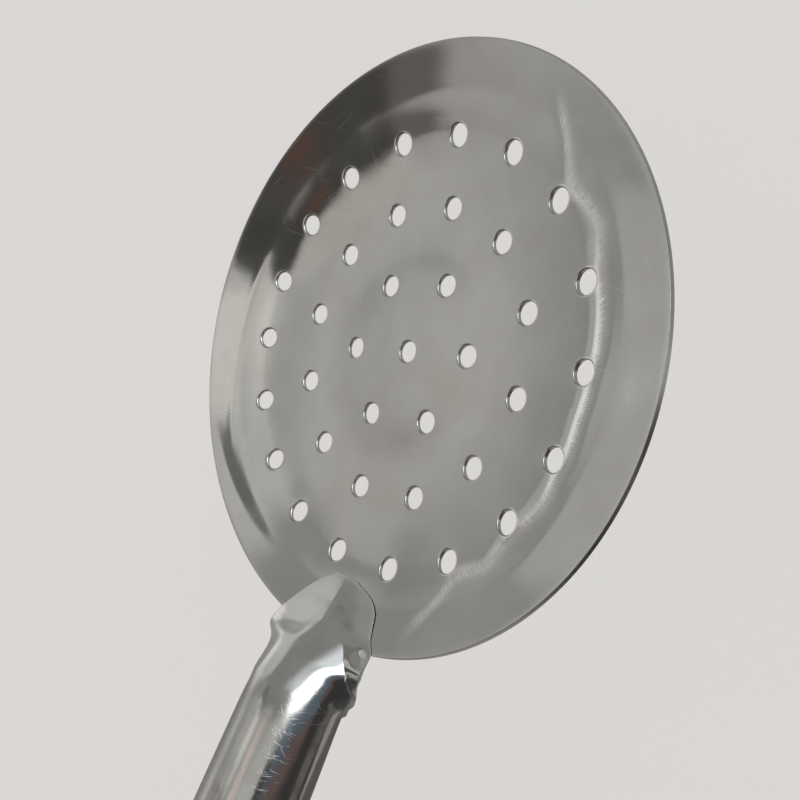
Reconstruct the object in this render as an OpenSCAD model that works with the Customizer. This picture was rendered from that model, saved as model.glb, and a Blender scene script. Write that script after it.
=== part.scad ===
// A kitchen skimmer: a perforated dished disc with a rolled sheet handle spot welded to it.
// The disc lies level, its dished side up. The origin is the middle of the centre drain hole,
// level with the flat underside. The handle leaves the rim along +X and climbs.

/* [Disc] */
// Diameter over the rim
disc_d = 110; // [102:1:130]
// Thickness of the sheet
disc_t = 0.8; // [0.6:0.1:1.2]
// Diameter of the flat centre
flat_d = 38; // [26:1:44]
// Radius of the pressed bend round the flat centre, on the upper face
bend_r = 70; // [50:1:80]
// Slope of the flange from the bend to the rim, in degrees
flange_angle = 17.5; // [12:0.5:20]

/* [Drain holes] */
// Diameter of every drain hole
hole_d = 4; // [3:0.1:5]
// Distance of the inner ring of holes from the centre
inner_ring_r = 14.5; // [12:0.5:18]
// Holes in the inner ring
inner_ring_n = 6; // [4:1:8]
// Turn of the inner ring from the handle, in degrees
inner_ring_turn = 33; // [0:1:60]
// Distance of the middle ring of holes from the centre
middle_ring_r = 27.5; // [24:0.5:31]
// Holes in the middle ring
middle_ring_n = 12; // [8:1:16]
// Turn of the middle ring from the handle, in degrees
middle_ring_turn = 19.5; // [0:0.5:30]
// Distance of the outer ring of holes from the rim
outer_ring_inset = 15; // [14:0.5:17]
// Holes in the outer ring
outer_ring_n = 18; // [12:1:22]
// Turn of the outer ring from the handle, in degrees
outer_ring_turn = 12.5; // [8:0.5:14]
// How far two runs of the outer ring's holes stand off their places, in degrees
outer_ring_slip = 1.5; // [0:0.1:2]
// How far the whole punched pattern sits off centre, towards the handle
pattern_shift = 0.5; // [0:0.1:1]

/* [Tab on the disc] */
// Distance of the tab's tip from the rim
tab_reach = 10.5; // [10:0.5:12]
// Width of the tab at its tip
tip_w = 10; // [8:0.2:12]
// Width that the rounded corners of the tip add
tip_corner_w = 3.4; // [2:0.2:5]
// Width over the two ears at the rim
ear_w = 27.2; // [26:0.2:28]
// Height of the tab's ridge at its tip, under the sheet
tip_ridge_h = 0.5; // [0.2:0.1:1]

/* [Handle] */
// Length of the handle along its axis, from the tab's tip to the far end
handle_len = 250; // [200:5:290]
// Climb of the handle over the disc, in degrees
handle_angle = 17; // [12:1:25]
// Thickness of the sheet
handle_t = 0.8; // [0.6:0.1:1]
// Outside diameter of the tube at the neck
neck_d = 17.8; // [16:0.2:18.6]
// Outside diameter of the tube where it is thickest
belly_d = 19.8; // [19:0.2:23]
// Distance from the neck to the thickest place
belly_at = 75; // [40:5:90]
// Outside diameter at which the tube starts to flatten
tail_d = 14; // [12:0.5:16]
// Width of the open seam along the underside
seam_w = 0.5; // [0.3:0.1:1]

/* [Hanging end] */
// Length over which the tube is pressed flat
flatten_len = 30; // [20:1:40]
// Length of the flat tongue
tongue_len = 22; // [18:1:30]
// Diameter of the hanging hole
hang_hole_d = 7; // [5:0.5:8]
// Distance of the hanging hole's centre from the far end
hang_hole_inset = 10; // [9:0.5:12]

/* [Spot welds] */
// Diameter of a weld nugget
weld_d = 2.2; // [1.8:0.1:2.4]
// Distance of a weld's centre from the rim
weld_inset = 1.5; // [1.4:0.1:2.5]
// Distance of a weld's centre from the widest edge of its ear, across the handle
weld_edge = 3.3; // [3.1:0.1:4]

/* [Hidden] */
steel = [0.74, 0.74, 0.72];
steel_tube = [0.80, 0.80, 0.79];
weld_grey = [0.52, 0.51, 0.49];
exact_fn = 64;
punch_len = 6;

disc_r = disc_d / 2;
flat_r = flat_d / 2;
// Where the bend ends, and how far the upper face has climbed there
bend_end_r = flat_r + bend_r * sin(flange_angle);
bend_rise = bend_r * (1 - cos(flange_angle));
bend_steps = 8;

// The punched pattern was not quite central, and the press slipped on two runs of the outer
// ring: from the first to the last hole of a run, and which way they went
slipped_runs = [[3, 5, -1], [10, 12, 1]];

// The sheet of the handle is drawn by its inner face. Places on it are told by s, the distance
// from the tab's tip along the handle, and by t, from -1 at one cut edge over the crown to 1.
// The crown of the arch runs from t = -0.5 to 0.5, and an ear or a lower wall on each side.
tip_x = disc_r - tab_reach;
rim_s = tab_reach / cos(handle_angle);
seat_gap = 0.02;
// The tube's axis passes this far over the rim
axis_lift = 0.3;
// The crown rises from the tab's ridge to the tube
ridge_start_s = rim_s - 6.5;
ridge_full_s = rim_s + 9;
round_start_s = rim_s - 1;
round_full_s = rim_s + 7;
arch_full_s = rim_s + 4;
tip_arch_part = 0.96;
corner_len = 2.5;
// The ears swing down, then run on into the lower walls
swing_start_s = rim_s + 0.5;
swing_full_s = rim_s + 10.3;
swing_power = 1.4;
wrap_start_s = rim_s + 6.5;
wrap_full_s = rim_s + 12.5;
// Past the rim each ear narrows and then widens to the corner of the strip. The left one was
// trimmed less.
ear_start_s = rim_s - 1;
ear_full_s = rim_s + 4.5;
narrow_ear_w = [5.2, 3.5];
corner_ear_w = 3.7;
neck_s = rim_s + 5.5;
// Within this distance of the rim the strip lifts off the disc and turns square to the tube
lift_off_len = 6;
// Flattening of the far end
tongue_s = handle_len - tongue_len;
flatten_s = tongue_s - flatten_len;
layer_gap = 0.3;
fold_softness = 0.25;
tongue_r_in = tail_d / 2 - handle_t;
tongue_half_w = PI / 2 * tongue_r_in;
tongue_round_r = tongue_half_w + 0.5;
round_s = handle_len - tongue_round_r;

// Cells across the strip, and the distance between its rows of points
cells = 28;
neck_step = 1.0;
body_step = 14;
flatten_step = 3;
tongue_step = 1.8;

function mix(a, b, w) = a + (b - a) * w;
function part_way(x, from, to) = max(0, min(1, (x - from) / (to - from)));
function ease(w) = w * w * (3 - 2 * w);

// Height of the disc's upper face at radius r, carried on past the rim along the flange
function disc_top(r) =
    r <= flat_r ? disc_t
    : r <= bend_end_r ? disc_t + bend_r - sqrt(bend_r * bend_r - pow(r - flat_r, 2))
    : disc_t + bend_rise + (r - bend_end_r) * tan(flange_angle);

// Slope of the disc's upper face at radius r, in degrees
function disc_slope(r) =
    r <= flat_r ? 0
    : r <= bend_end_r ? asin((r - flat_r) / bend_r)
    : flange_angle;

// The crown: half width at its foot, height at its middle and how round it is, from the tab's
// low ridge to the half round of the tube
function edge_y(s) =
    let(corner = 1 - pow(1 - part_way(s, 0, corner_len), 2))
    let(straight = ear_w - tip_w - tip_corner_w)
    (tip_w + tip_corner_w * corner + straight * part_way(s, 0, rim_s)) / 2;
function crown_y(s) =
    s < arch_full_s
    ? mix(tip_arch_part * tip_w / 2, tube_r_in(arch_full_s), part_way(s, 0, arch_full_s))
    : tube_r_in(s);
function crown_h(s) =
    mix(tip_ridge_h, tube_r_in(s), ease(part_way(s, ridge_start_s, ridge_full_s)));
function crown_point(s, t) =
    let(y = crown_y(s) * sin(180 * t))
    let(low = pow(cos(90 * abs(sin(180 * t))), 2))
    let(high = cos(180 * t))
    [y, crown_h(s) * mix(low, high, ease(part_way(s, round_start_s, round_full_s)))];

// The ear or lower wall beside the crown, from its foot out: it starts at the angle swing
// below level and turns by wrap along its width
function ear_width(s, side) =
    let(narrow = mix(narrow_ear_w[side], corner_ear_w, part_way(s, ear_full_s, wrap_start_s)))
    let(ear = mix(max(edge_y(s) - crown_y(s), 0), narrow, ease(part_way(s, ear_start_s, ear_full_s))))
    mix(ear, tube_r_in(s) * (90 - seam_half_angle(s)) * PI / 180, wrapped(s));
least_wrap = 0.001;
function wrapped(s) = ease(part_way(s, wrap_start_s, wrap_full_s));
function swing(s) = 90 * pow(part_way(s, swing_start_s, swing_full_s), swing_power);
function ear_point(s, t) =
    let(wrap = least_wrap + (90 - seam_half_angle(s)) * wrapped(s))
    let(r = ear_width(s, t < 0 ? 0 : 1) / (wrap * PI / 180))
    let(turned = swing(s) + wrap * (2 * abs(t) - 1))
    [sign(t) * (crown_y(s) + r * (sin(turned) - sin(swing(s)))),
     r * (cos(turned) - cos(swing(s)))];

// The tube: its radius inside, and the seam left open under it
function tube_r_in(s) =
    let(belly_s = neck_s + belly_at)
    let(before = part_way(s, neck_s, belly_s))
    let(after = part_way(s, belly_s, flatten_s))
    s < belly_s ? mix(belly_d, neck_d, pow(1 - before, 2)) / 2 - handle_t
    : mix(belly_d, tail_d, pow(after, 2)) / 2 - handle_t;
function seam_half_angle(s) = asin(seam_w / 2 / tube_r_in(s));
// The open stretch of the handle, and the far end that is pressed flat and cut round
function open_section(s, t) = abs(t) <= 0.5 ? crown_point(s, t) : ear_point(s, t);
function flat_section(s, t) =
    let(turn = t * (180 - seam_half_angle(s)))
    let(side = cos(turn) / norm([cos(turn), fold_softness]))
    let(fold = (1 - abs(1 - 2 * abs(t))) * sign(t))
    let(seam = seam_w / 2 * sign(t) * part_way(abs(t), 0.5, 1))
    [tongue_half_w * fold + seam, layer_gap / 2 * side];
function section(s, t) =
    mix(open_section(s, t), flat_section(s, t), ease(part_way(s, flatten_s, tongue_s)));

// A place on the inner face. The tab follows the disc, and the tube is square to its axis.
function inner_point(s, t) =
    let(p = section(s, t))
    let(y = p[0])
    let(cut_back = tongue_round_r - sqrt(pow(tongue_round_r, 2) - min(y * y, pow(tongue_half_w, 2))))
    let(along = s - rim_s - cut_back * part_way(s, round_s - tongue_round_r, handle_len))
    let(on_tab = 1 - ease(part_way(s, rim_s, rim_s + lift_off_len)))
    let(tilt = handle_angle * (1 - on_tab))
    let(axis_x = disc_r + along * cos(handle_angle))
    let(axis_z = disc_top(disc_r) + axis_lift + along * sin(handle_angle))
    let(seat_h = disc_top(norm([axis_x, y])) + seat_gap - axis_z)
    let(h = p[1] + seat_h * on_tab)
    [axis_x - h * sin(tilt), y, axis_z + h * cos(tilt)];
function outer_point(s, t) =
    let(ds = 0.05, dt = 0.005)
    let(along = inner_point(s + ds, t) - inner_point(s - ds, t))
    let(across = inner_point(s, t + dt) - inner_point(s, t - dt))
    let(n = cross(along, across))
    inner_point(s, t) + n / norm(n) * handle_t;

function steps(from, to, step) =
    let(n = ceil((to - from) / step))
    [for (i = [0:n - 1]) from + (to - from) * i / n];
stations = concat(
    steps(0, wrap_full_s, neck_step),
    steps(wrap_full_s, flatten_s, body_step),
    steps(flatten_s, tongue_s, flatten_step),
    steps(tongue_s, handle_len, tongue_step),
    [handle_len]);

// Pressed profile of the disc, from the centre to the rim and back
function bend_point(r, a) = [flat_r + r * sin(a), disc_t + bend_r - r * cos(a)];
module disc_blank() {
    angles = [for (i = [0:bend_steps]) flange_angle * i / bend_steps];
    rim_top_r = disc_r - disc_t * sin(flange_angle);
    low_z = disc_top(rim_top_r) - disc_t * cos(flange_angle);
    rotate_extrude($fn = exact_fn)
        polygon(concat(
            [[0, 0]],
            [for (a = angles) bend_point(bend_r + disc_t, a)],
            [[disc_r, low_z], [rim_top_r, disc_top(rim_top_r)]],
            [for (i = [bend_steps:-1:0]) bend_point(bend_r, angles[i])],
            [[0, disc_t]]));
}

// Something square to the disc's upper face, at radius r and turned a from the handle
module on_disc(r, a) {
    rotate([0, 0, a])
        translate([r, 0, disc_top(r)])
            rotate([0, -disc_slope(r), 0])
                children();
}

// A drain hole at radius r of the punched pattern, turned a from the handle
module drain_hole(r, a) {
    x = r * cos(a) + pattern_shift;
    y = r * sin(a);
    on_disc(norm([x, y]), atan2(y, x))
        cylinder(d = hole_d, h = punch_len, center = true, $fn = exact_fn);
}

module hole_ring(r, n, turn) {
    for (i = [0:n - 1]) drain_hole(r, turn + i * 360 / n);
}

// In the outer ring the slipped runs stand off their even places
function slip(i) =
    let(ways = [for (run = slipped_runs) if (i >= run[0] && i <= run[1]) run[2]])
    len(ways) > 0 ? outer_ring_slip * ways[0] : 0;
module outer_ring() {
    for (i = [0:outer_ring_n - 1])
        drain_hole(disc_r - outer_ring_inset, outer_ring_turn + i * 360 / outer_ring_n + slip(i));
}

// A weld nugget reaches half way into each sheet
weld_r_place = disc_r - weld_inset;
weld_turn = asin((ear_w / 2 - weld_edge) / weld_r_place);
module weld_nugget(side) {
    on_disc(weld_r_place, side * weld_turn)
        translate([0, 0, -disc_t / 2])
            cylinder(d = weld_d, h = (disc_t + handle_t) / 2 + seat_gap, $fn = exact_fn);
}

// The shapes above are drawn about the centre of the rim, and the punched pattern sets the origin
module from_centre_hole() {
    translate([-pattern_shift, 0, 0])
        children();
}

module perforated_disc() {
    color(steel)
        from_centre_hole() difference() {
            disc_blank();
            drain_hole(0, 0);
            hole_ring(inner_ring_r, inner_ring_n, inner_ring_turn);
            hole_ring(middle_ring_r, middle_ring_n, middle_ring_turn);
            outer_ring();
            weld_nugget(1);
            weld_nugget(-1);
        }
}

function two_triangles(a, b, c, d) = [[a, c, b], [a, d, c]];

// The rolled strip: two faces, the two cut edges, the tip and the far end
module handle_sheet() {
    across = [for (j = [0:cells]) 2 * j / cells - 1];
    m = cells + 1;
    n = len(stations);
    inner = [for (s = stations) for (t = across) inner_point(s, t)];
    outer = [for (s = stations) for (t = across) outer_point(s, t)];
    faces = concat(
        [for (i = [0:n - 2]) for (j = [0:cells - 1]) for (f = two_triangles(
            i * m + j, i * m + j + 1, (i + 1) * m + j + 1, (i + 1) * m + j)) f],
        [for (i = [0:n - 2]) for (j = [0:cells - 1]) for (f = two_triangles(
            n * m + i * m + j, n * m + (i + 1) * m + j,
            n * m + (i + 1) * m + j + 1, n * m + i * m + j + 1)) f],
        [for (i = [0:n - 2]) for (f = two_triangles(
            i * m, (i + 1) * m, n * m + (i + 1) * m, n * m + i * m)) f],
        [for (i = [0:n - 2]) for (f = two_triangles(
            i * m + cells, n * m + i * m + cells,
            n * m + (i + 1) * m + cells, (i + 1) * m + cells)) f],
        [for (j = [0:cells - 1]) for (f = two_triangles(
            j, n * m + j, n * m + j + 1, j + 1)) f],
        [for (j = [0:cells - 1]) for (f = two_triangles(
            (n - 1) * m + j, (n - 1) * m + j + 1,
            n * m + (n - 1) * m + j + 1, n * m + (n - 1) * m + j)) f]);
    polyhedron(points = concat(inner, outer), faces = faces, convexity = 8);
}

module hanging_hole() {
    along = handle_len - rim_s - hang_hole_inset;
    axis_z = disc_top(disc_r) + axis_lift + along * sin(handle_angle);
    translate([disc_r + along * cos(handle_angle), 0, axis_z])
        rotate([0, -handle_angle, 0])
            cylinder(d = hang_hole_d, h = punch_len, center = true, $fn = exact_fn);
}

module handle() {
    color(steel_tube)
        from_centre_hole() difference() {
            handle_sheet();
            hanging_hole();
            weld_nugget(1);
            weld_nugget(-1);
        }
}

module spot_weld_right() { color(weld_grey) from_centre_hole() weld_nugget(1); }
module spot_weld_left() { color(weld_grey) from_centre_hole() weld_nugget(-1); }

perforated_disc();
handle();
spot_weld_right();
spot_weld_left();
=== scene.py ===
import bmesh
import bpy
from math import asin, atan2, ceil, cos, degrees, exp, floor, hypot, pi, radians, sin, sqrt, tan
from mathutils import Matrix, Vector
from mathutils.geometry import delaunay_2d_cdt


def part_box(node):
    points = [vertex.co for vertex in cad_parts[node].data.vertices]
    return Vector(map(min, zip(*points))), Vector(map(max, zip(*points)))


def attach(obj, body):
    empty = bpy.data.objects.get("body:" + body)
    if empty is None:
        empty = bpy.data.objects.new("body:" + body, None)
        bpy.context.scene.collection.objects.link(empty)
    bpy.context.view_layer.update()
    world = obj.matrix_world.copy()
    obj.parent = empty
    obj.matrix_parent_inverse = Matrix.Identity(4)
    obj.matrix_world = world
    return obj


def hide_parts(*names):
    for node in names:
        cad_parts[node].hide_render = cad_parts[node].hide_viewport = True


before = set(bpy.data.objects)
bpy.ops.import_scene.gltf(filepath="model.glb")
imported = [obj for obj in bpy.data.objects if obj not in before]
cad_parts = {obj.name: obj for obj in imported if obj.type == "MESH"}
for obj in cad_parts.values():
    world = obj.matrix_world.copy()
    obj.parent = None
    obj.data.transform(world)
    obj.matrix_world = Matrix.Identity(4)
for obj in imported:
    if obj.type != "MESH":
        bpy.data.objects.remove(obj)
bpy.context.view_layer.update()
scene = bpy.context.scene
scene.view_settings.view_transform = "Standard"

# The viewpoint of the photo: about 15 cm away, over the near edge of the dish, with the picture
# turned so that the handle runs out at its lower left.
MM = 0.001
eye = Vector((5.76, 101.43, 104.22)) * MM
aim = Vector((9.23, -0.24, 0)) * MM
picture_turn = radians(-80.5)
camera_data = bpy.data.cameras.new("camera")
camera_data.lens = 34.61
camera_data.sensor_width = 36
camera_data.clip_start = 5 * MM
camera_data.clip_end = 20
camera = bpy.data.objects.new("camera", camera_data)
look = (aim - eye).to_track_quat("-Z", "Y").to_matrix() @ Matrix.Rotation(picture_turn, 3, "Z")
camera.matrix_world = Matrix.Translation(eye) @ look.to_4x4()
scene.collection.objects.link(camera)
scene.camera = camera

# The perforated disc: a round blank of stainless sheet, punched with 37 drain holes and pressed
# into a shallow dish with a flat centre and a sloping flange. It is meshed flat, with every hole,
# given its thickness, and then lifted into the pressed shape.
disc_low, disc_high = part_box("perforated_disc")
disc_x = (disc_low.x + disc_high.x) / 2 / MM
disc_r = (disc_high.x - disc_low.x) / 2 / MM
disc_t = 0.8
# Slope of the sheet in degrees, by distance from the disc's middle
press_slopes = [(0, 0), (17, 0), (24, 4.2), (29, 8.4), (34, 12.0), (38, 13.9), (39.6, 14.6), (41.2, 16.9),
                (42.2, 17.1), (44, 16.2), (46.7, 16.2), (47.7, 18.9), (51, 19.2), (60, 19.8)]
flange_angle = radians(17.5)
rim_top_r = disc_r - disc_t * sin(flange_angle)
# Traces of hand work in the flange: how far each stands out of the sheet, its half width, how
# softly its ends run out, and its path as degrees round from the handle and radius
swelling = (0.085, 1.0, 8, [(18, 52), (24, 49), (30, 45.6), (34, 43.3), (37, 43.4), (43, 44.4), (49, 42.8), (53, 42.4),
            (58, 43), (63, 43.3), (68, 42.4), (72, 42.6), (80, 41.8), (88, 42), (92, 42.3), (101, 42.6), (111, 42.8),
            (115, 43.4), (120, 44.6), (125, 44), (130, 43.2), (134, 43.6), (137, 45.2), (144, 49), (150, 52)])
groove = (-0.035, 0.55, 5, [(246, 46.4), (256, 46.7), (265, 47.2), (275, 47.9), (286, 48.6), (296, 49.3), (304, 50)])
fold = (0.06, 1.8, 12, [(290, 54.5), (300, 52.9), (306, 52.3), (318, 51), (329, 50), (338, 49.4)])
hole_r = 2.0
# The punch rounded the upper lip of each hole and drew the sheet in a little round it. Below, the
# lip is sharp.
lip_r, low_lip_r, rim_lip_r = 0.34, 0.1, 0.12
draw_in, draw_in_outer, draw_in_len = 0.012, 0.02, 1.2
# Width of the wear along the edges
worn_w = 0.35
# Rings of holes: radius, number, turn from the handle in degrees
hole_rings = [(0, 1, 0), (14.5, 6, 33), (27.5, 12, 19.5), (40, 18, 12.5)]
# In the outer ring the press slipped on two runs of holes: first, last, degrees
slipped_runs = [(3, 5, -1.5), (10, 12, 1.5)]


def mix(a, b, w):
    return a + (b - a) * w


def part_way(x, start, end):
    return max(0, min(1, (x - start) / (end - start)))


def ease(w):
    return w * w * (3 - 2 * w)


def straight_run(places, x):
    for (x0, y0), (x1, y1) in zip(places, places[1:]):
        if x <= x1:
            return mix(y0, y1, part_way(x, x0, x1))
    return places[-1][1]


def curve(places, x, soft):
    # The places joined by straight runs, with the corners rounded over a length of soft
    weights = (1, 2, 3, 4, 3, 2, 1)
    return sum(w * straight_run(places, x + (i - 3) / 4 * soft) for i, w in enumerate(weights)) / sum(weights)


press_step = 0.1
press_heights = [disc_t]
while len(press_heights) * press_step < disc_r + 15:
    slope = curve(press_slopes, (len(press_heights) - 0.5) * press_step, 0.8)
    press_heights.append(press_heights[-1] + press_step * tan(radians(slope)))


def trace_height(trace, r, turn):
    height, half_w, run_out, path = trace
    start, end = path[0][0], path[-1][0]
    if not start < turn < end:
        return 0
    shown = ease(min(1, (turn - start) / run_out, (end - turn) / run_out))
    return height * shown * exp(-(((r - curve(path, turn, 2.5)) / half_w) ** 2))


def dish_height(x, y):
    r = hypot(x - disc_x, y)
    i = int(r / press_step)
    z = mix(press_heights[i], press_heights[i + 1], r / press_step - i)
    turn = degrees(atan2(y, x - disc_x)) % 360
    return z + sum(trace_height(trace, r, turn) for trace in (swelling, groove, fold))


holes = []
for ring_r, ring_n, ring_turn in hole_rings:
    for i in range(ring_n):
        slip = sum(s for first, last, s in slipped_runs if ring_n == 18 and first <= i <= last)
        a = radians(ring_turn + i * 360 / ring_n + slip)
        holes.append((ring_r * cos(a), ring_r * sin(a), draw_in_outer if ring_n == 18 else draw_in))


def drawn_in(x, y):
    depth = 0
    for hole_x, hole_y, hole_draw in holes:
        d = hypot(x - hole_x, y - hole_y) - hole_r
        if d < 6 * draw_in_len:
            depth += hole_draw * exp(-max(d, 0) / draw_in_len)
    return depth


def rounded(edge_distance, r):
    if edge_distance >= r:
        return 0
    return r - sqrt(r ** 2 - (r - max(edge_distance, 0)) ** 2)


def sheet_point(x, y, upper):
    z = dish_height(x, y) - drawn_in(x, y)
    rim_distance = rim_top_r - hypot(x - disc_x, y)
    hole_distance = min(hypot(x - h[0], y - h[1]) - hole_r for h in holes)
    if upper:
        z -= rounded(hole_distance, lip_r) + rounded(rim_distance, rim_lip_r)
        return Vector((x, y, z))
    step = 0.05
    slope_x = (dish_height(x + step, y) - dish_height(x - step, y)) / (2 * step)
    slope_y = (dish_height(x, y + step) - dish_height(x, y - step)) / (2 * step)
    square = Vector((-slope_x, -slope_y, 1)).normalized()
    low_lip = rounded(hole_distance, low_lip_r) + rounded(rim_distance, low_lip_r)
    return Vector((x, y, z)) - square * (disc_t - low_lip)


def circle_points(x, y, r, n, turn=0):
    return [Vector((x + r * cos(2 * pi * (i + turn) / n), y + r * sin(2 * pi * (i + turn) / n)))
            for i in range(n)]


def clear_of_holes(p, gap):
    return all(hypot(p.x - h[0], p.y - h[1]) > hole_r + gap for h in holes)


# The points of the flat blank: the rim and the holes with rings beside them, rings over the
# flange, and a lattice inside
rim_n, hole_n = 320, 44
lip_steps = [0.08, 0.3, 0.62, 1, 1.15]
points = circle_points(disc_x, 0, rim_top_r, rim_n)
outlines = [list(range(rim_n))]
for hole_x, hole_y, depth in holes:
    outlines.append(list(range(len(points), len(points) + hole_n)))
    points += circle_points(hole_x, hole_y, hole_r, hole_n)
    for step in lip_steps:
        points += circle_points(hole_x, hole_y, hole_r + step * lip_r, hole_n)
    points += circle_points(hole_x, hole_y, hole_r + 0.7, hole_n)
    points += circle_points(hole_x, hole_y, hole_r + 1.15, hole_n // 2)
for step in (0.1, 0.4, 1, 1.25):
    points += circle_points(disc_x, 0, rim_top_r - step * rim_lip_r, rim_n)
ring_start_r, ring_step = 39.8, 0.4
ring_n = floor((rim_top_r - 0.4 - ring_start_r) / ring_step)
for i in range(ring_n + 1):
    ring = circle_points(disc_x, 0, rim_top_r - 0.4 - i * ring_step, rim_n, i % 2 / 2)
    points += [p for p in ring if clear_of_holes(p, 1.4)]
lattice = 1.1
rows = ceil(disc_r / (lattice * sqrt(3) / 2))
for j in range(-rows, rows + 1):
    for i in range(-rows - 1, rows + 2):
        p = Vector((disc_x + (i + (j % 2) / 2) * lattice, j * lattice * sqrt(3) / 2))
        if hypot(p.x - disc_x, p.y) < ring_start_r - 0.3 and clear_of_holes(p, 1.6):
            points.append(p)
edges = [(o[i], o[(i + 1) % len(o)]) for o in outlines for i in range(len(o))]
flat_points, _, triangles, _, _, _ = delaunay_2d_cdt(points, edges, [], 0, 1e-6)

bm = bmesh.new()
verts = [bm.verts.new((p.x, p.y, 0)) for p in flat_points]
for t in triangles:
    middle = (flat_points[t[0]] + flat_points[t[1]] + flat_points[t[2]]) / 3
    if clear_of_holes(middle, -0.02):
        bm.faces.new([verts[i] for i in t])
bmesh.ops.delete(bm, geom=[v for v in bm.verts if not v.link_faces], context="VERTS")
bmesh.ops.recalc_face_normals(bm, faces=bm.faces)
bmesh.ops.solidify(bm, geom=bm.faces[:], thickness=disc_t)
middle_z = (min(v.co.z for v in bm.verts) + max(v.co.z for v in bm.verts)) / 2
worn, highlight_strip = bm.verts.layers.float.new("worn"), bm.verts.layers.float.new("highlight_strip")
for v in bm.verts:
    turn = degrees(atan2(v.co.y, v.co.x - disc_x)) % 360
    hole_distance = min(hypot(v.co.x - h[0], v.co.y - h[1]) - hole_r for h in holes)
    swollen = trace_height(swelling, hypot(v.co.x - disc_x, v.co.y), turn) / swelling[0]
    # Mask of the painted highlight strip: it follows the swelling and stays clear of the holes
    v[highlight_strip] = swollen ** 2 * ease(part_way(hole_distance, 0, 2.2))
    edge_distance = min(rim_top_r - hypot(v.co.x - disc_x, v.co.y), hole_distance)
    v[worn] = exp(-max(edge_distance, 0) / worn_w)
    v.co = sheet_point(v.co.x, v.co.y, v.co.z > middle_z) * MM
if bm.calc_volume(signed=True) < 0:
    bmesh.ops.reverse_faces(bm, faces=bm.faces)


def finished_piece(bm, name, node):
    mesh = bpy.data.meshes.new(name)
    bm.to_mesh(mesh)
    bm.free()
    mesh.shade_smooth()
    mesh.set_sharp_from_angle(angle=radians(50))
    piece = bpy.data.objects.new(name, mesh)
    scene.collection.objects.link(piece)
    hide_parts(node)
    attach(piece, "root")
    return piece


disc = finished_piece(bm, "skimmer_disc", "perforated_disc")


class Kit:
    """Short names for the shader nodes of one material or of the world. Sizes are in mm."""

    def __init__(self, tree):
        self.nodes, self.links = tree.nodes, tree.links
        self.nodes.clear()

    def put(self, socket, value):
        if isinstance(value, bpy.types.NodeSocket):
            self.links.new(value, socket)
        else:
            socket.default_value = value

    def math(self, operation, *values):
        node = self.nodes.new("ShaderNodeMath")
        node.operation = operation
        for socket, value in zip(node.inputs, values):
            self.put(socket, value)
        return node.outputs[0]

    def ramp(self, value, low, high, start=0, end=1, smooth=True):
        node = self.nodes.new("ShaderNodeMapRange")
        node.interpolation_type = "SMOOTHSTEP" if smooth else "LINEAR"
        self.put(node.inputs["Value"], value)
        for socket, number in zip(node.inputs[1:5], (low, high, start, end)):
            self.put(socket, number)
        return node.outputs["Result"]

    def within(self, value, low, high, soft):
        return self.math("MULTIPLY", self.ramp(value, low - soft / 2, low + soft / 2),
                         self.ramp(value, high - soft / 2, high + soft / 2, 1, 0))

    def mix(self, factor, a, b):
        node = self.nodes.new("ShaderNodeMix")
        node.data_type = "RGBA"
        self.put(node.inputs[0], factor)
        for socket, value in zip(node.inputs[6:8], (a, b)):
            self.put(socket, value if isinstance(value, bpy.types.NodeSocket) else (*value, 1))
        return node.outputs[2]

    def object_place(self):
        return self.nodes.new("ShaderNodeTexCoord").outputs["Object"]

    def attribute(self, name):
        node = self.nodes.new("ShaderNodeAttribute")
        node.attribute_name = name
        return node.outputs["Fac"]

    def axes(self, vector):
        node = self.nodes.new("ShaderNodeSeparateXYZ")
        self.links.new(vector, node.inputs[0])
        return node.outputs

    def noise(self, size, turn=0, detail=2, seed=0, place=None):
        # Spots of the given size along each axis, turned about Z by degrees
        mapping = self.nodes.new("ShaderNodeMapping")
        mapping.vector_type = "TEXTURE"
        self.links.new(place or self.object_place(), mapping.inputs["Vector"])
        mapping.inputs["Rotation"].default_value = (0, 0, radians(turn))
        mapping.inputs["Scale"].default_value = [n * MM for n in size]
        node = self.nodes.new("ShaderNodeTexNoise")
        node.noise_dimensions = "4D"
        self.links.new(mapping.outputs[0], node.inputs["Vector"])
        node.inputs["W"].default_value = seed
        node.inputs["Scale"].default_value = 1
        node.inputs["Detail"].default_value = detail
        return node.outputs[0]

    def hairlines(self, length, width, turns, seed, rare):
        # Sparse straight scratches, one set for each direction
        lines = None
        for i, turn in enumerate(turns):
            spots = self.noise((length, width, 60), turn, 1, seed + i)
            fine = self.ramp(spots, rare, rare + 0.07)
            lines = self.math("MAXIMUM", lines, fine) if lines else fine
        return lines

    def pits(self, spacing, radius, rare):
        node = self.nodes.new("ShaderNodeTexVoronoi")
        self.links.new(self.object_place(), node.inputs["Vector"])
        node.inputs["Scale"].default_value = 1 / (spacing * MM)
        chosen = self.math("GREATER_THAN", self.axes(node.outputs["Color"])[0], rare)
        near = self.ramp(node.outputs["Distance"], radius / spacing * 0.6, radius / spacing, 1, 0)
        return self.math("MULTIPLY", chosen, near)

    def relief(self, *layers):
        # Heights in mm, one over another
        normal = None
        for height, depth in layers:
            node = self.nodes.new("ShaderNodeBump")
            node.inputs["Strength"].default_value = 1
            node.inputs["Distance"].default_value = depth * MM
            self.put(node.inputs["Height"], height)
            if normal:
                self.links.new(normal, node.inputs["Normal"])
            normal = node.outputs[0]
        return normal

    def steel_output(self, colour, roughness, normal, metal=1):
        shader = self.nodes.new("ShaderNodeBsdfPrincipled")
        self.put(shader.inputs["Metallic"], metal)
        self.put(shader.inputs["Base Color"], colour)
        self.put(shader.inputs["Roughness"], roughness)
        self.put(shader.inputs["Normal"], normal)
        output = self.nodes.new("ShaderNodeOutputMaterial")
        self.links.new(shader.outputs[0], output.inputs["Surface"])


def new_material(name):
    material = bpy.data.materials.new(name)
    material.use_nodes = True
    return material, Kit(material.node_tree)
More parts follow.
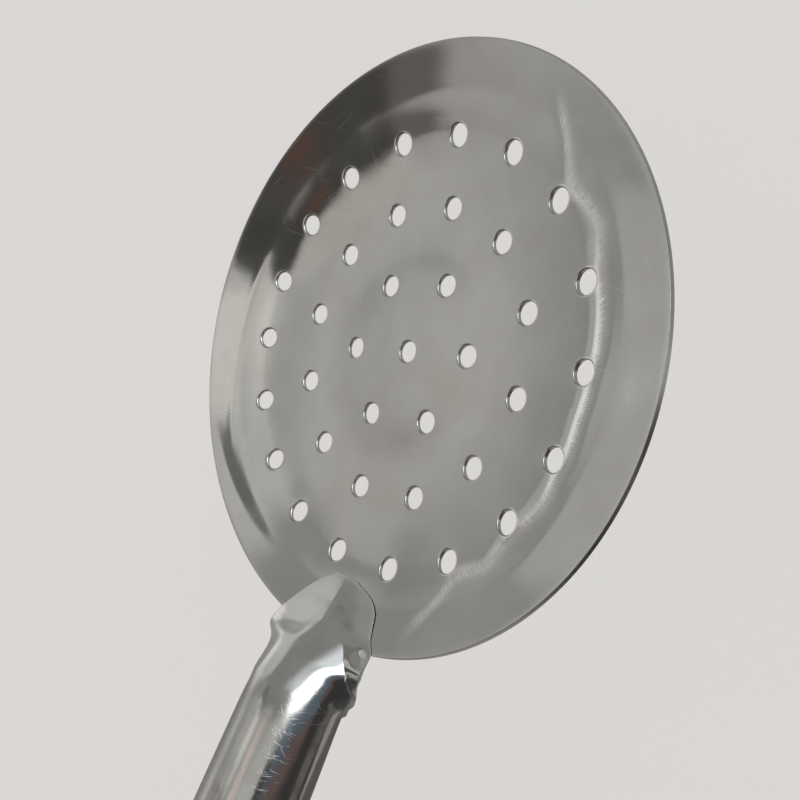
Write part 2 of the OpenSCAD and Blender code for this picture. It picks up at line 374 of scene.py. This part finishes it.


# Old pressed steel: cloudy and a little brown in patches, with hairline scratches in all
# directions and a few pits. Along the wavy swelling runs a crosswise-scratched strip whose colour is
# lightened nearly to white, a painted highlight. Handling has worn the rim and the lips of the holes
# pale and dull.
material, kit = new_material("pressed_steel")
worn, highlight_strip = kit.attribute("worn"), kit.attribute("highlight_strip")
x, y, _ = kit.axes(kit.object_place())
x = kit.math("SUBTRACT", x, disc_x * MM)
r = kit.math("SQRT", kit.math("ADD", kit.math("MULTIPLY", x, x), kit.math("MULTIPLY", y, y)))
turn = kit.math("ARCTAN2", y, x)
polar = kit.nodes.new("ShaderNodeCombineXYZ")
kit.links.new(r, polar.inputs[0])
kit.links.new(kit.math("MULTIPLY", turn, 45 * MM), polar.inputs[1])
# Crosswise scratch lines in the strip: real roughness and bump, but a near-white painted highlight in colour
highlight_strip_scratches = kit.ramp(kit.noise((3, 0.13, 60), 14, 1, 3, polar.outputs[0]), 0.42, 0.62)
highlight_strip_scratches = kit.math("MULTIPLY", highlight_strip_scratches, highlight_strip)
clouds = kit.noise((8, 8, 12), detail=4, seed=1)
stains = kit.ramp(kit.noise((17, 26, 20), detail=5, seed=2), 0.5, 0.68)
smudges = kit.ramp(kit.noise((11, 15, 12), 30, 3, seed=6), 0.42, 0.68)
hairs = kit.hairlines(16, 0.13, (25, -52, 78), 10, 0.71)
pits = kit.pits(6, 0.16, 0.62)
colour = kit.mix(kit.ramp(clouds, 0.3, 0.7), (0.583, 0.571, 0.541), (0.622, 0.613, 0.585))
colour = kit.mix(kit.math("MULTIPLY", stains, 0.22), colour, (0.50, 0.475, 0.43))
colour = kit.mix(kit.math("MULTIPLY", hairs, 0.2), colour, (0.74, 0.73, 0.71))
# Painted highlight: the strip along the swelling is lightened nearly to white
colour = kit.mix(kit.math("MULTIPLY", highlight_strip, 0.62), colour, (0.92, 0.91, 0.89))
colour = kit.mix(kit.math("MULTIPLY", highlight_strip_scratches, 0.8), colour, (0.99, 0.98, 0.96))
colour = kit.mix(kit.math("MULTIPLY", worn, 0.5), colour, (0.68, 0.67, 0.64))
colour = kit.mix(kit.math("MULTIPLY", pits, 0.8), colour, (0.16, 0.14, 0.12))
roughness = kit.math("MULTIPLY_ADD", smudges, 0.06, 0.055)
for mask, more in ((hairs, 0.08), (highlight_strip_scratches, 0.15), (worn, 0.22), (pits, 0.3)):
    roughness = kit.math("MULTIPLY_ADD", mask, more, roughness)
relief = kit.relief((kit.noise((2.6, 2.6, 2.6), detail=1, seed=20), 0.0022), (kit.noise((0.35, 0.35, 0.35), seed=21), 0.0006),
                    (kit.math("ADD", hairs, highlight_strip_scratches), -0.0015), (pits, -0.02))
kit.steel_output(colour, roughness, relief)
disc.data.materials.append(material)

# The handle: one strip of stainless sheet, rolled into a tube with its open seam underneath. At
# the head the tube runs out into a crown with two flat ears, and ends in a thin tab that is spot
# welded to the disc. The far end is pressed flat and punched.
handle_t = 0.8
handle_angle = radians(17)
handle_len = 250
rim_to_end = handle_len - 10.5 / cos(handle_angle)
rim_z = disc_t + 70 * (1 - cos(flange_angle)) + (disc_r - 19 - 70 * sin(flange_angle)) * tan(flange_angle)
seat_gap, axis_lift = 0.02, 0.3
tip_s = -11.85
# Tube: outside diameters and the places, past the rim, where they hold
neck_d, belly_d, tail_d = 17.8, 19.8, 14
neck_s, belly_s = 5.5, 80.5
seam_w = 0.5
# Far end
flatten_len, tongue_len = 30, 22
tongue_s = rim_to_end - tongue_len
flatten_s = tongue_s - flatten_len
tongue_half_w = pi / 2 * (tail_d / 2 - handle_t)
tongue_round_r = tongue_half_w + 0.5
layer_gap, fold_softness = 0.3, 0.25
# The head, by distance past the rim, in mm. How far the inside of the crown's ridge stands over
# the sheet that it grows from, and the half width of the crown's right foot
crown_rise = [(-12, 0.15), (-7.3, 0.45), (-5.5, 0.6), (-3, 1.05), (-1.9, 1.7), (-0.9, 2.5), (0.2, 3.2), (1.5, 4.1),
              (3.2, 5.1), (5.3, 6.1), (8.8, 7.7), (12, 8.1), (16, 8.2)]
foot_right = [(-12, 1.6), (-11.5, 3), (-10.5, 6), (-5, 6.3), (-2, 6.4), (-0.9, 6.9), (0.2, 7.6), (1.5, 8.4), (3.0, 9.3),
              (4, 9.2), (5.2, 8.9), (6.9, 8.6), (8.7, 8.3), (16, 8.2)]
# How far the crown's right foot stands off the disc, and how softly the crown runs out there
foot_lift = [(-7, 0), (-3.5, 0.3), (-1.5, 0.75), (0.5, 0.65), (3, 0.1), (5, 0)]
foot_soft = [(-12, 3), (-4.5, 3), (-2.2, 0.7), (8, 0.7), (12, 0.1)]
# Width of the flat sheet beyond the right foot, and how far it hangs down, in degrees
ear_right = [(-12, 0.4), (-11.5, 0.5), (-10.5, 1.4), (-9.5, 2.8), (-8.2, 4.0), (-5.1, 4.8), (-3.7, 5.3), (-2.0, 6.8), (-0.9, 6.1),
             (0.5, 5.0), (2.2, 3.9), (3.2, 2.8), (4, 2.6), (5.2, 3.4), (6.9, 4.5), (7.7, 5.0), (8.2, 4.6), (8.8, 4.3), (10, 5)]
swing_right = [(-3, 0), (2.2, 2), (3.2, 18), (4, 46), (5.2, 68), (6.9, 82), (8.5, 90)]
# Half width of the left side to its cut edge, and how far that edge hangs below the disc
edge_left = [(-12, 1.2), (-11.7, 3), (-9, 6.9), (-5.7, 9.7), (-3, 11.6), (-1.6, 12.9), (0.6, 13.4), (2.3, 13.3), (3.9, 12.4),
             (5.8, 11.3), (8, 9.2), (10, 6.4), (12, 3.4), (15, 0.3)]
drop_left = [(-2, 0), (0, 0.05), (1.5, 0.5), (2.5, 1.1), (4, 2.3), (6, 4.3), (8, 6.2), (10, 7.4), (14, 8.2)]
# Roundness of each side: -1 bends all at the ridge, 0 is straight, 1 is an arc
round_right = [(-12, -0.6), (-6.5, -0.5), (-3.5, 0.2), (-0.5, 1), (16, 1)]
round_left = [(-12, 0.1), (-3, 0.12), (0, 0.32), (3, 0.8), (5, 1), (16, 1)]
ridge_soft = 2.2
close_start, close_end = 8.5, 15
# The tab was ground thin at its tip and its cut edges
thin_edge, thin_tip_len = 0.07, 5
# The dimple of the weld's electrode in the right ear: distance past the rim, y, radius, depth
dimple_s, dimple_y, dimple_r, dimple_depth = -0.5, 11.0, 1.9, 0.24
# Place of a fleck of rust
rust_place = (43.9, 6.9, 6.6)
# The hanging hole is punched through both layers of the flat end
hang_middle, hang_r, hang_snap = Vector((273.513, 0, 76.013)), 3.5, 0.42


def tube_r(s):
    if s < belly_s:
        return mix(belly_d, neck_d, (1 - part_way(s, neck_s, belly_s)) ** 2) / 2 - handle_t
    return mix(belly_d, tail_d, part_way(s, belly_s, flatten_s) ** 2) / 2 - handle_t


half_across, foot_across, ear_across = 64, 10, 20


def section(s, right):
    # The inside of the strip at one distance past the rim, from the ridge to one edge
    r = tube_r(s)
    seam_turn = asin(seam_w / 2 / r)
    closed = ease(part_way(s, close_start, close_end))
    rise = mix(curve(crown_rise, s, 1.4), r, closed)
    if right:
        width = mix(curve(foot_right, s, 1.0), r, closed)
        lift = curve(foot_lift, s, 1)
        drop = mix(rise - lift, r, closed)
    else:
        width = mix(curve(edge_left, s, 2.4), seam_w / 2, closed)
        drop = rise + mix(curve(drop_left, s, 1), r * cos(seam_turn), closed)
    chord = atan2(drop, width)
    roundness = curve(round_right if right else round_left, s, 3)
    half_turn = chord * abs(roundness)
    length = hypot(width, drop) * (half_turn / sin(half_turn) if half_turn > 0.001 else 1)
    start, end = chord * (1 - roundness), chord * (1 + roundness)
    pieces = [(length, start, end, half_across)]
    if right:
        free = mix(curve(ear_right, s, 0.8), r * (pi / 2 - seam_turn), closed)
        soft = min(mix(curve(foot_soft, s, 1), 0.02, closed), free)
        hang = mix(radians(curve(swing_right, s, 1)) + asin(lift / (free + 0.5)), pi / 2, closed)
        pieces = [(length - soft / 2, start, end, half_across - foot_across - ear_across),
                  (soft, end, hang, foot_across),
                  (free - soft / 2, hang, hang + free / r * ease(part_way(s, close_start, 11)), ear_across)]
    y, h, gone = 0, rise, 0
    places = [(y, h)]
    for piece_len, start, end, n in pieces:
        step = piece_len / n / 4
        for i in range(4 * n):
            w = (i + 0.5) / n / 4
            turned = start * (ease(min(1, gone / ridge_soft)) - w) + end * w
            y, h, gone = y + step * cos(turned), h - step * sin(turned), gone + step
            if i % 4 == 3:
                places.append((y, h))
    return places


def flat_point(s, t):
    turn = t * (pi - asin(seam_w / 2 / tube_r(s)))
    side = 1 if t > 0 else -1
    fold_y = (1 - abs(1 - 2 * abs(t))) * side
    seam = seam_w / 2 * side * part_way(abs(t), 0.5, 1)
    return tongue_half_w * fold_y + seam, layer_gap / 2 * cos(turn) / hypot(cos(turn), fold_softness)


def strip_point(s, j, places):
    y, h = places[abs(j)]
    y = y if j > 0 else -y
    pressed = ease(part_way(s, flatten_s, tongue_s))
    if pressed > 0:
        flat_y, flat_h = flat_point(s, j / half_across)
        y, h = mix(y, flat_y, pressed), mix(h, flat_h, pressed)
    cut_back = tongue_round_r - sqrt(tongue_round_r ** 2 - min(abs(y), tongue_half_w) ** 2)
    along = s - cut_back * part_way(s, rim_to_end - 2 * tongue_round_r, rim_to_end)
    x = disc_x + disc_r + along * cos(handle_angle)
    z = rim_z + axis_lift + along * sin(handle_angle)
    on_tab = 1 - ease(part_way(s, -0.5, 6))
    if on_tab > 0:
        z = mix(z, dish_height(x, y) + seat_gap, on_tab)
    return Vector((x - h * sin(handle_angle), y, z + h * cos(handle_angle)))


def wall(s, j, places):
    out = abs(places[abs(j)][0]) / places[half_across][0] if s < 4 else 0
    edge_t = mix(thin_edge, handle_t, ease(part_way(s, -2.5, 2) if j > 0 else part_way(s, -1, 2)))
    t = mix(handle_t, edge_t, out)
    t = mix(thin_edge, t, part_way(s, tip_s, tip_s + thin_tip_len))
    if j > 0 and s < 3:
        away = hypot(s - dimple_s, places[j][0] - dimple_y) / dimple_r
        t -= dimple_depth * max(0, 1 - away ** 2) ** 2
    return t


# Rows along the strip: close together at the head, wider along the plain tube
row_steps = [(tip_s, 16, 0.26), (16, flatten_s, 2.2), (flatten_s, rim_to_end, 0.7)]
row_s = []
for start, end, step in row_steps:
    n = ceil((end - start) / step)
    row_s += [start + (end - start) * i / n for i in range(n)]
row_s.append(rim_to_end)


def strip_grid():
    bm = bmesh.new()
    bmesh.ops.create_grid(bm, x_segments=len(row_s) - 1, y_segments=2 * half_across, size=1)
    return bm


def place_in_grid(v):
    return round((v.co.x + 1) / 2 * (len(row_s) - 1)), round(v.co.y * half_across)


rows = [(section(s, False), section(s, True)) for s in row_s]
hang_axis = Vector((-sin(handle_angle), 0, cos(handle_angle)))


def from_hang_hole(point):
    off = point - hang_middle
    return off - hang_axis * off.dot(hang_axis)


bm = strip_grid()
inner, keys = {}, []
for v in bm.verts:
    i, j = place_in_grid(v)
    point = strip_point(row_s[i], j, rows[i][j > 0])
    # The points next to the hanging hole are moved onto its edge
    off = from_hang_hole(point)
    if abs(off.length - hang_r) < hang_snap:
        point += off * (hang_r / off.length - 1)
    v.co = inner[i, j] = point
    keys.append((i, j))
bm.normal_update()
outward = {key: v.normal.copy() for key, v in zip(keys, bm.verts)}
bm.free()
top_row = min(range(len(row_s)), key=lambda i: abs(row_s[i] - 50))
facing = 1 if outward[top_row, 0].z > 0 else -1
bm = strip_grid()
punched = [f for f in bm.faces
           if all(from_hang_hole(inner[place_in_grid(v)]).length < hang_r + 0.001 for v in f.verts)]
bmesh.ops.delete(bm, geom=punched, context="FACES")
bmesh.ops.solidify(bm, geom=bm.faces[:], thickness=1)
middle_z = (min(v.co.z for v in bm.verts) + max(v.co.z for v in bm.verts)) / 2
worn = bm.verts.layers.float.new("worn")
for v in bm.verts:
    i, j = place_in_grid(v)
    edge_distance = min(row_s[i] - tip_s, rim_to_end - row_s[i], abs(from_hang_hole(inner[i, j]).length - hang_r),
                        (inner[i, j] - inner[i, half_across if j > 0 else -half_across]).length)
    v[worn] = exp(-edge_distance / worn_w)
    lift = wall(row_s[i], j, rows[i][j > 0]) * facing if v.co.z > middle_z else 0
    v.co = inner[i, j] + outward[i, j] * lift
if bm.calc_volume(signed=True) < 0:
    bmesh.ops.reverse_faces(bm, faces=bm.faces)
bm.normal_update()
cut_edges = [e for e in bm.edges if e.is_manifold and e.calc_face_angle(0) > radians(60)]
bmesh.ops.bevel(bm, geom=cut_edges, offset=0.025, segments=2, profile=0.5, affect="EDGES", material=-1)
bmesh.ops.scale(bm, vec=(MM, MM, MM), verts=bm.verts)
handle = finished_piece(bm, "skimmer_handle", "handle")
# Polished steel gone dull: clouded, with pits, and with a swarm of short scratches on the crown
# that glitter in the light. The left side of the tube is painted darker as shade; the underside of the
# roll is painted dark as shade and made rough, with a darker painted shade line along its edge.
# A fleck of rust sits at the tip of the tab.
material, kit = new_material("rolled_steel")
worn = kit.attribute("worn")
x, y, z = kit.axes(kit.object_place())
axis_x, axis_z = (disc_x + disc_r) * MM, (rim_z + axis_lift) * MM
x, z = kit.math("SUBTRACT", x, axis_x), kit.math("SUBTRACT", z, axis_z)
along = kit.math("ADD", kit.math("MULTIPLY", x, cos(handle_angle)), kit.math("MULTIPLY", z, sin(handle_angle)))
height = kit.math("SUBTRACT", kit.math("MULTIPLY", z, cos(handle_angle)), kit.math("MULTIPLY", x, sin(handle_angle)))
on_tube = kit.ramp(along, 6 * MM, 12 * MM)
wander = kit.math("MULTIPLY_ADD", kit.noise((5, 5, 5), detail=4, seed=30), 1 * MM, height)
wander = kit.math("ADD", wander, kit.ramp(along, 8 * MM, 42 * MM, 2.7 * MM, -0.1 * MM, False))
# Painted shade: the underside of the tube, below a wandering line, is painted dark, and made rough and less metallic
rough_underside_shade = kit.math("MULTIPLY", kit.ramp(wander, -0.4 * MM, 0.1 * MM, 1, 0), on_tube)
# A darker painted shade line along the edge of that underside
underside_shade_line = kit.math("MULTIPLY", kit.within(wander, -0.3 * MM, 0.6 * MM, 0.5 * MM), on_tube)
# Painted shade: the left side of the tube is darkened, made a little rougher and less metallic
left_side_shade = kit.math("MULTIPLY", kit.ramp(y, -4 * MM, 2.5 * MM, 1, 0), kit.ramp(along, 3 * MM, 14 * MM))
clouds = kit.noise((7, 5, 5), detail=4, seed=31)
smudges = kit.ramp(kit.noise((12, 7, 7), 10, 4, seed=32), 0.42, 0.66)
dark_smudges = kit.math("MULTIPLY", kit.ramp(kit.noise((5, 4, 4), detail=5, seed=33), 0.54, 0.68), on_tube)
hairs = kit.hairlines(7, 0.1, (20, 75, -40), 40, 0.705)
swarm = kit.hairlines(2.2, 0.13, (62, 95, 30), 50, 0.655)
swarm_place = kit.math("MULTIPLY", kit.within(along, 5 * MM, 26 * MM, 9 * MM), kit.within(y, 5.1 * MM, 8.6 * MM, 2 * MM))
swarm = kit.math("MULTIPLY", swarm, swarm_place)
pits = kit.pits(3.4, 0.13, 0.66)
rust = kit.nodes.new("ShaderNodeVectorMath")
rust.operation = "DISTANCE"
kit.links.new(kit.object_place(), rust.inputs[0])
rust.inputs[1].default_value = [n * MM for n in rust_place]
rust = kit.math("MULTIPLY_ADD", kit.noise((0.5, 0.5, 0.5), seed=34), -0.5 * MM, rust.outputs["Value"])
rust = kit.ramp(rust, 0.1 * MM, 0.4 * MM, 1, 0)
colour = kit.mix(kit.ramp(clouds, 0.3, 0.7), (0.64, 0.63, 0.60), (0.71, 0.70, 0.68))
# Painted shade on the tube's left side
colour = kit.mix(kit.math("MULTIPLY", left_side_shade, 0.9), colour, (0.27, 0.26, 0.24))
colour = kit.mix(kit.math("MULTIPLY", dark_smudges, 0.4), colour, (0.36, 0.34, 0.30))
# Painted shade on the underside and along its edge
colour = kit.mix(rough_underside_shade, colour, (0.18, 0.16, 0.135))
colour = kit.mix(kit.math("MULTIPLY", underside_shade_line, 0.75), colour, (0.14, 0.12, 0.10))
colour = kit.mix(kit.math("MULTIPLY", kit.math("ADD", hairs, swarm), 0.4), colour, (0.85, 0.84, 0.82))
colour = kit.mix(kit.math("MULTIPLY", worn, 0.3), colour, (0.72, 0.71, 0.68))
colour = kit.mix(kit.math("MULTIPLY", pits, 0.75), colour, (0.14, 0.12, 0.10))
colour = kit.mix(rust, colour, (0.30, 0.15, 0.08))
roughness = kit.math("MULTIPLY_ADD", smudges, 0.07, 0.12)
for mask, more in ((left_side_shade, 0.1), (dark_smudges, 0.08), (rough_underside_shade, 0.35), (hairs, 0.08), (swarm, 0.22), (worn, 0.15),
                   (pits, 0.3), (rust, 0.5)):
    roughness = kit.math("MULTIPLY_ADD", mask, more, roughness)
grain = kit.noise((0.3, 0.3, 0.3), detail=3, seed=35)
relief = kit.relief((kit.noise((3, 2.2, 2.2), detail=2, seed=36), 0.006), (grain, 0.0008),
                    (kit.math("MULTIPLY", grain, rough_underside_shade), 0.02), (kit.math("ADD", hairs, swarm), -0.006), (pits, -0.03))
metal = kit.math("MULTIPLY_ADD", rough_underside_shade, -0.85, 1)
metal = kit.math("MULTIPLY_ADD", left_side_shade, -0.15, metal)
metal = kit.math("MULTIPLY_ADD", worn, -0.3, metal)
kit.steel_output(colour, roughness, relief, metal)
handle.data.materials.append(material)

# The two spot welds: lens-shaped nuggets of fused metal between the ears and the disc. Nothing of
# them shows but the electrode's dimple above.
weld_r, weld_half_t = 1.6, 0.3
material, kit = new_material("weld_steel")
clouds = kit.noise((0.6, 0.6, 0.6), detail=3, seed=60)
colour = kit.mix(clouds, (0.42, 0.41, 0.40), (0.58, 0.57, 0.54))
kit.steel_output(colour, kit.ramp(clouds, 0.3, 0.7, 0.3, 0.5), kit.relief((clouds, 0.02)))
for side, node in (("right", "spot_weld_right"), ("left", "spot_weld_left")):
    low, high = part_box(node)
    weld_x, weld_y = (low.x + high.x) / 2 / MM, (low.y + high.y) / 2 / MM
    bm = bmesh.new()
    bmesh.ops.create_uvsphere(bm, u_segments=32, v_segments=16, radius=weld_r)
    for v in bm.verts:
        x, y = weld_x + v.co.x, weld_y + v.co.y
        v.co = Vector((x, y, dish_height(x, y) - 0.12 + v.co.z / weld_r * weld_half_t)) * MM
    weld = finished_piece(bm, "weld_nugget_" + side, node)
    weld.data.materials.append(material)

# The studio: a pale floor some way under the skimmer, and a grey room with a bright window on
# the -X side and dark walls towards +X and +Y, which the steel shows as its bands.
floor_z, floor_edge_y = -70 * MM, 68 * MM
pale = (0.76, 0.74, 0.72)
bm = bmesh.new()
bmesh.ops.create_grid(bm, x_segments=1, y_segments=1, size=2)
bmesh.ops.translate(bm, vec=(0, floor_edge_y - 2, floor_z), verts=bm.verts)
floor_mesh = bpy.data.meshes.new("floor")
bm.to_mesh(floor_mesh)
bm.free()
ground = bpy.data.objects.new("floor", floor_mesh)
scene.collection.objects.link(ground)
floor_material = bpy.data.materials.new("floor")
floor_material.use_nodes = True
nodes, links = floor_material.node_tree.nodes, floor_material.node_tree.links
nodes.clear()
diffuse = nodes.new("ShaderNodeBsdfDiffuse")
diffuse.inputs["Color"].default_value = (*pale, 1)
glow = nodes.new("ShaderNodeEmission")
glow.inputs["Color"].default_value = (*pale, 1)
path = nodes.new("ShaderNodeLightPath")
seen = nodes.new("ShaderNodeMath")
seen.operation = "MULTIPLY"
seen.inputs[1].default_value = 0.85
links.new(path.outputs["Is Camera Ray"], seen.inputs[0])
blend = nodes.new("ShaderNodeMixShader")
links.new(seen.outputs[0], blend.inputs[0])
links.new(diffuse.outputs[0], blend.inputs[1])
links.new(glow.outputs[0], blend.inputs[2])
links.new(blend.outputs[0], nodes.new("ShaderNodeOutputMaterial").inputs["Surface"])
floor_mesh.materials.append(floor_material)

world = bpy.data.worlds.new("studio")
world.use_nodes = True
scene.world = world
nodes, links = world.node_tree.nodes, world.node_tree.links
nodes.clear()


def math(operation, *values):
    node = nodes.new("ShaderNodeMath")
    node.operation = operation
    for socket, value in zip(node.inputs, values):
        if isinstance(value, (int, float)):
            socket.default_value = value
        else:
            links.new(value, socket)
    return node.outputs[0]


def within(value, low, high, soft):
    rise = nodes.new("ShaderNodeMapRange")
    rise.interpolation_type = "SMOOTHSTEP"
    off = math("ABSOLUTE", math("SUBTRACT", value, (low + high) / 2))
    links.new(off, rise.inputs["Value"])
    rise.inputs["From Min"].default_value = (high - low) / 2 + soft / 2
    rise.inputs["From Max"].default_value = (high - low) / 2 - soft / 2
    return rise.outputs["Result"]


direction = nodes.new("ShaderNodeSeparateXYZ")
links.new(nodes.new("ShaderNodeTexCoord").outputs["Generated"], direction.inputs[0])
azimuth = math("MULTIPLY", math("ARCTAN2", direction.outputs[1], direction.outputs[0]), 180 / pi)
# Azimuth from 20 degrees round to 380, so that no card crosses the place where it starts again
azimuth = math("WRAP", azimuth, 380, 20)
height = math("MULTIPLY", math("ARCSINE", direction.outputs[2]), 180 / pi)

# The walls of the room, from the floor up: height in degrees and brightness
levels = [(-60, 0.5), (14, 0.55), (28.1, 0.51), (29.0, 0.345), (31, 0.385), (37, 0.46), (43, 0.51),
          (48, 0.565), (53, 0.54), (60, 0.48), (62.5, 0.50), (66, 0.70), (69, 0.83), (74, 0.80), (80, 0.42)]
colour = None
for (low, low_tone), (high, high_tone) in zip(levels, levels[1:]):
    step = nodes.new("ShaderNodeMapRange")
    links.new(height, step.inputs["Value"])
    step.inputs["From Min"].default_value = low
    step.inputs["From Max"].default_value = high
    step.inputs["To Min"].default_value = 0 if colour else low_tone
    step.inputs["To Max"].default_value = high_tone - low_tone if colour else high_tone
    tone = step.outputs["Result"]
    colour = math("ADD", colour, tone) if colour else tone
walls = nodes.new("ShaderNodeCombineColor")
for socket, tint in zip(walls.inputs, (1, 0.99, 0.96)):
    links.new(math("MULTIPLY", colour, tint), socket)
colour = walls.outputs[0]
# Cards in front of them: azimuth from and to, height from and to, softness of their edges, all in
# degrees, and the colour. A later card covers an earlier one.
cards = [
    (20, 380, -90, -57, 4, (0.74, 0.72, 0.70)),
    (274, 300, 34, 62, 8, (0.43, 0.42, 0.41)),
    (250, 263, 34, 42, 4, (0.34, 0.34, 0.33)),
    (232, 257.5, 36, 55, 4, (0.35, 0.35, 0.34)),
    (243, 256, 56, 65, 4, (0.64, 0.64, 0.62)),
    (204, 240, 30, 78, 8, (0.28, 0.28, 0.27)),
    (204, 234, -60, 34, 8, (0.28, 0.28, 0.27)),
    (230, 261, -60, 31.5, 4, (0.60, 0.60, 0.58)),
    (252, 275, -60, 22, 2, (0.92, 0.92, 0.90)),
    (272, 292, 12, 31, 2, (0.92, 0.92, 0.90)),
    (273, 312, -60, 12, 12, (0.55, 0.55, 0.52)),
    (225, 247, 52, 74, 2.5, (0.20, 0.20, 0.19)),
    (270, 277, 50, 63, 2, (0.58, 0.57, 0.55)),
    (276.5, 300, 46.5, 54, 3, (0.165, 0.15, 0.14)),
    (276.8, 300, 52.5, 64, 2, (0.08, 0.077, 0.071)),
    (272.5, 300, 62.8, 80, 1.6, (0.075, 0.073, 0.068)),
    (281.5, 285, 61, 64.5, 1.4, (0.125, 0.07, 0.06)),
    (104, 210, -60, 78, 10, (0.28, 0.28, 0.27)),
    (82, 108, 40, 80, 8, (0.50, 0.50, 0.49)),
    (312, 380, -57, 60, 12, (0.06, 0.06, 0.06)),
    (20, 90, -57, 51, 4, (0.045, 0.045, 0.045)),
    (83.5, 100, -9, 40, 3.5, (0.11, 0.15, 0.19)),
    (76.5, 83, -6, 36, 3, (0.15, 0.10, 0.09)),
    (54, 69, -46, -23, 6, (0.15, 0.14, 0.125)),
    (128, 170, -2, 46, 26, (0.92, 0.98, 1.03)),
    (100, 136, 16, 48, 10, (2.6, 2.75, 2.9)),
    (20, 380, 83, 90, 4, (0.70, 0.62, 0.58)),
]
for az_from, az_to, low, high, soft, card_colour in cards:
    mask = math("MULTIPLY", within(azimuth, az_from, az_to, soft), within(height, low, high, soft))
    layer = nodes.new("ShaderNodeMix")
    layer.data_type = "RGBA"
    links.new(mask, layer.inputs["Factor"])
    links.new(colour, layer.inputs[6])
    layer.inputs[7].default_value = (*card_colour, 1)
    colour = layer.outputs[2]
background = nodes.new("ShaderNodeBackground")
links.new(colour, background.inputs["Color"])
plain = nodes.new("ShaderNodeBackground")
plain.inputs["Color"].default_value = (*pale, 1)
path = nodes.new("ShaderNodeLightPath")
blend = nodes.new("ShaderNodeMixShader")
links.new(path.outputs["Is Camera Ray"], blend.inputs[0])
links.new(background.outputs[0], blend.inputs[1])
links.new(plain.outputs[0], blend.inputs[2])
links.new(blend.outputs[0], nodes.new("ShaderNodeOutputWorld").inputs["Surface"])
